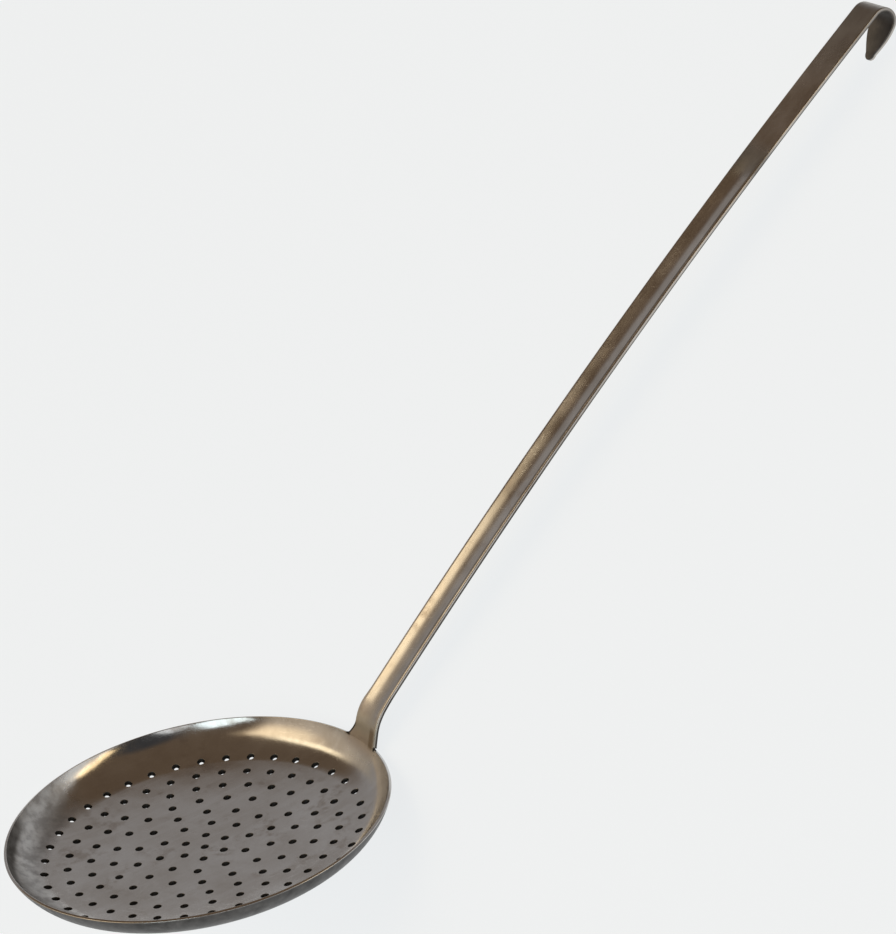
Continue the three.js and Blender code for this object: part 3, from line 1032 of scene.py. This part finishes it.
@dataclass
class RimWeld(SteelPiece):
    """The weld that joins the handle's foot to the rim: ground flush inside, a rippled bead on the back."""

    name = "skimmer_rim_weld"
    node = "rim_weld"
    slot = Slot.WELD

    pose: RestPose
    toes: Pair = (15.6, -11.2)
    fade: float = 4.5
    fade_share: float = 0.8
    lap: float = 1.6
    proud: float = 0.015
    sunk: float = 0.05
    thinning: float = 0.25
    crown: float = 0.55
    sections: int = 129
    section_steps: int = 9
    ripple: float = 0.12
    ripple_pitch: float = 1.5
    finish: SteelFinish = SteelFinish(
        name="rim_weld_steel", bright=(0.50, 0.47, 0.43), dull=(0.36, 0.33, 0.29), roughness=0.26,
        drawn=(1.2, 0.25, 1.2), lay=0.0, rub=1.2, haze=0.12, wave=0.5, stain=(0.20, 0.16, 0.12),
        underside_shade=(0.12, 0.11, 0.10),
    )

    def skin(self) -> Skin:
        """Carries the bead's section round the rim.

        Each section runs up the front and down the back. It laps over the rim and the strip's foot by less
        towards both ends. Its front lies flush with the wall. Its back swells by the crown and by ripples.
        """
        aside = np.linspace(*self.toes, self.sections)
        azimuth = np.arcsin(aside / RIM[0])
        share = 0.5 - 0.5 * np.cos(np.linspace(0.0, math.pi, self.section_steps))
        ending = 1.0 - eased(np.minimum(self.toes[0] - aside, aside - self.toes[1]), 0.0, self.fade)
        top = self.lap * (1.0 - self.fade_share * ending)
        along = -top[:, None] + (2.0 * top)[:, None] * share[None, :]
        swell = np.sin(share * math.pi)[None, :] * (1.0 - ending)[:, None]
        front = np.full_like(along, self.proud)
        ripples = 1.0 + self.ripple / self.crown * np.cos(aside * FULL_TURN / self.ripple_pitch)
        steel = SHEET + (STRIP - SHEET) * eased(along, 0.0, self.lap)
        base = steel * (1.0 - self.thinning * ending[:, None])
        back = self.sunk - base - self.crown * swell * ripples[:, None]
        reach = np.concatenate((along, along[:, ::-1]), axis=1)
        depth = np.concatenate((front, back[:, ::-1]), axis=1)
        cosine, sine = math.cos(RIM_SLOPE), math.sin(RIM_SLOPE)
        out = RIM[0] + reach * cosine - depth * sine
        up = RIM[1] + reach * sine + depth * cosine
        points = np.stack((out * np.cos(azimuth)[:, None], out * np.sin(azimuth)[:, None], up), axis=-1)
        rows, columns = points.shape[:2]
        onward = np.gradient(points, axis=0)
        faces_apart = (points[:, : share.size], points[:, share.size :])
        around = np.concatenate([np.gradient(face, axis=1) for face in faces_apart], axis=1)
        normals = unit(np.cross(onward, around))
        wall_normal = (-sine * np.cos(azimuth), -sine * np.sin(azimuth), np.full_like(azimuth, cosine))
        normals[:, : share.size] = np.stack(wall_normal, axis=-1)[:, None, :]
        faces = [face[::-1] for face in tube_faces(rows, columns)]
        # Painted shade on the back of the bead.
        outer_shade = np.repeat(np.array((0.0, 1.0)), share.size)
        marks = {"outer_shade": np.broadcast_to(outer_shade[None, :], (rows, columns)).ravel()}
        return Skin(points.reshape(-1, 3), normals.reshape(-1, 3), faces, marks)


# Studio


@dataclass(frozen=True)
class SoftLamp:
    """A rectangular lamp that faces a point."""

    name: str
    place: Point
    aim: Point
    size: Pair
    colour: Colour
    glow: float
    spares_floor: bool = False

    def build(self, pieces: bpy.types.Collection) -> None:
        """Makes the lamp, with a power of its glow times pi times its area.

        Args:
            pieces: The tool's pieces, which alone are lit by a lamp that spares the floor.
        """
        data = bpy.data.lights.new(self.name, "AREA")
        data.shape = "RECTANGLE"
        data.size, data.size_y = self.size
        data.color = self.colour
        data.energy = self.glow * math.pi * self.size[0] * self.size[1]
        lamp = bpy.data.objects.new(self.name, data)
        lamp.location = self.place
        lamp.rotation_euler = (Vector(self.aim) - Vector(self.place)).to_track_quat("-Z", "Y").to_euler()
        lamp.visible_camera = False
        if self.spares_floor:
            lamp.light_linking.receiver_collection = pieces
        bpy.context.scene.collection.objects.link(lamp)


@dataclass
class Studio:
    """Pale floor, soft lamps, a dim room and the camera."""

    floor_half: float = 6.0
    floor_level: float = -0.00013
    floor_white: float = 0.82
    floor_tone: Colour = (0.9, 0.9, 0.9)
    floor_glow: Colour = (0.96, 0.985, 1.0)
    brown: Colour = (0.152, 0.108, 0.073)
    grey: Colour = (0.345, 0.33, 0.325)
    ceiling: tuple[Colour, ...] = ((0.35, 0.315, 0.27), (0.70, 0.59, 0.455), (1.70, 1.34, 0.88))
    beam: Colour = (2.3, 1.95, 1.36)
    shade: Colour = (0.055, 0.056, 0.06)
    eye: Point = (-0.17882812, -1.44167889, 1.07436288)
    aim: Point = (-0.01446702, 0.0360303, 0.04)
    roll: float = math.radians(50.1336129)
    lens: float = 138.346
    sensor: float = 36.0
    clip: Pair = (0.05, 50.0)
    lamps: tuple[SoftLamp, ...] = (
        SoftLamp("cool_window", (-1.12, -1.45, 1.61), (-0.25, 0.05, 0.1), (1.2, 0.8), (0.80, 0.95, 1.0), 2.2),
        SoftLamp("cool_pane", (-0.37, -2.07, 0.95), (-0.25, 0.0, 0.1), (0.56, 0.65), (0.92, 0.97, 1.0), 1.2),
        SoftLamp(
            "warm_side", (0.48, -0.73, 0.09), (-0.30, 0.0, 0.09), (0.56, 0.17), (1.0, 0.77, 0.43), 2.4, True
        ),
    )

    def floor(self) -> None:
        """A wide pale floor under the tool that keeps its soft shadow."""
        half = self.floor_half
        low = self.floor_level
        corners = ((-half, -half, low), (half, -half, low), (half, half, low), (-half, half, low))
        mesh = bpy.data.meshes.new("pale_floor")
        mesh.from_pydata(corners, [], [(0, 1, 2, 3)])
        floor = bpy.data.objects.new("pale_floor", mesh)
        bpy.context.scene.collection.objects.link(floor)
        made = bpy.data.materials.new("pale_floor")
        made.use_nodes = True
        shader = Shader(made.node_tree)
        matt = shader.add("ShaderNodeBsdfDiffuse", sockets={"Color": opaque(self.floor_tone)})
        white = shader.add("ShaderNodeEmission", sockets={"Color": opaque(self.floor_glow), "Strength": 1.0})
        kinds = ("Is Camera Ray", "Is Glossy Ray", "Is Transmission Ray")
        camera_ray, glossy_ray, clear_ray = (shader.add("ShaderNodeLightPath", output=kind) for kind in kinds)
        share = (camera_ray | glossy_ray | clear_ray) * self.floor_white
        seen = shader.add("ShaderNodeMixShader", sockets={0: share, 1: matt, 2: white})
        shader.add("ShaderNodeOutputMaterial", sockets={"Surface": seen})
        mesh.materials.append(made)

    def room(self) -> None:
        """A dim brown room: grey low down on the far side, warmly lit above the dish, dark in front."""
        world = bpy.data.worlds.new("dim_room")
        world.use_nodes = True
        bpy.context.scene.world = world
        shader = Shader(world.node_tree)
        direction = shader.add("ShaderNodeTexCoord", output="Generated")
        right, far, up = (shader.part(direction, axis) for axis in range(3))
        low = 1.0 - (up + right * 0.3).rise(0.48, 0.63)
        grey = low * self.patch(shader, direction, (72.0, 0.0), 42.0, 66.0)
        lit = (1.0 - right.rise(-0.09, 0.05)) * far.rise(-0.38, -0.12) * up.rise(0.20, 0.45)
        beam = right.within(-0.045, 0.035, 0.06) * up.within(0.89, 0.07, 0.16) * far.rise(0.0, 0.2)
        dark = self.patch(shader, direction, (-75.0, 20.0), 13.0, 26.0)
        dim, warm, bright = (opaque(colour) for colour in self.ceiling)
        ceiling = shader.blend(up.rise(0.30, 0.82), dim, warm)
        ceiling = shader.blend(up.rise(0.80, 1.0), ceiling, bright)
        tone = shader.blend(grey, opaque(self.brown), opaque(self.grey))
        tone = shader.blend(lit, tone, ceiling)
        tone = shader.coats(tone, ((beam, self.beam), (dark, self.shade)))
        glow = shader.add("ShaderNodeBackground", sockets={"Color": tone, "Strength": 1.0})
        shader.add("ShaderNodeOutputWorld", sockets={"Surface": glow})

    @staticmethod
    def patch(
        shader: Shader, direction: Value, centre: Pair, inner: float, outer: float
    ) -> Value:
        """A round soft patch of the room.

        Args:
            shader: Node tree of the room.
            direction: Direction that is looked in.
            centre: Azimuth and elevation of the patch's middle, in degrees.
            inner: Angle from the middle up to which the mask is 1.
            outer: Angle at which it has fallen to 0.

        Returns:
            The mask.
        """
        azimuth, elevation = (math.radians(angle) for angle in centre)
        level = math.cos(elevation)
        axis = (level * math.cos(azimuth), level * math.sin(azimuth), math.sin(elevation))
        settings = {"operation": "DOT_PRODUCT"}
        cosine = shader.add("ShaderNodeVectorMath", settings, {0: direction, 1: axis}, output="Value")
        return cosine.rise(math.cos(math.radians(outer)), math.cos(math.radians(inner)))

    def camera(self) -> None:
        """The camera at the photograph's viewing angle, rolled so that the handle rises to the right."""
        eye, aim = Vector(self.eye), Vector(self.aim)
        forward = (aim - eye).normalized()
        level = forward.cross(Vector((0.0, 0.0, 1.0))).normalized()
        upright = level.cross(forward)
        up = math.cos(self.roll) * upright + math.sin(self.roll) * level
        right = forward.cross(up)
        data = bpy.data.cameras.new("photo_view")
        data.sensor_fit = "HORIZONTAL"
        data.sensor_width = self.sensor
        data.lens = self.lens
        data.clip_start, data.clip_end = self.clip
        camera = bpy.data.objects.new("photo_view", data)
        bpy.context.scene.collection.objects.link(camera)
        camera.matrix_world = Matrix((right, up, -forward)).transposed().to_4x4()
        camera.location = eye
        bpy.context.scene.camera = camera

    def build(self, pieces: list[bpy.types.Object]) -> None:
        """Sets up floor, room, lamps, camera and the plain view transform.

        Args:
            pieces: The tool's pieces.
        """
        self.floor()
        self.room()
        tool = bpy.data.collections.new("tool_pieces")
        for piece in pieces:
            tool.objects.link(piece)
        for lamp in self.lamps:
            lamp.build(tool)
        self.camera()
        bpy.context.scene.view_settings.view_transform = "Standard"


def main() -> None:
    """Builds the pieces and the studio, and notes each piece's number of faces."""
    logging.basicConfig(level=logging.INFO, format="%(name)s: %(message)s")
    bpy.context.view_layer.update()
    pose = RestPose()
    pieces = [assembly.build() for assembly in (PerforatedDish(pose), HandleStrip(pose), RimWeld(pose))]
    for piece in pieces:
        LOG.info("%s: %d faces", piece.name, len(piece.data.polygons))
    Studio().build(pieces)


if __name__ == "__main__":
    main()
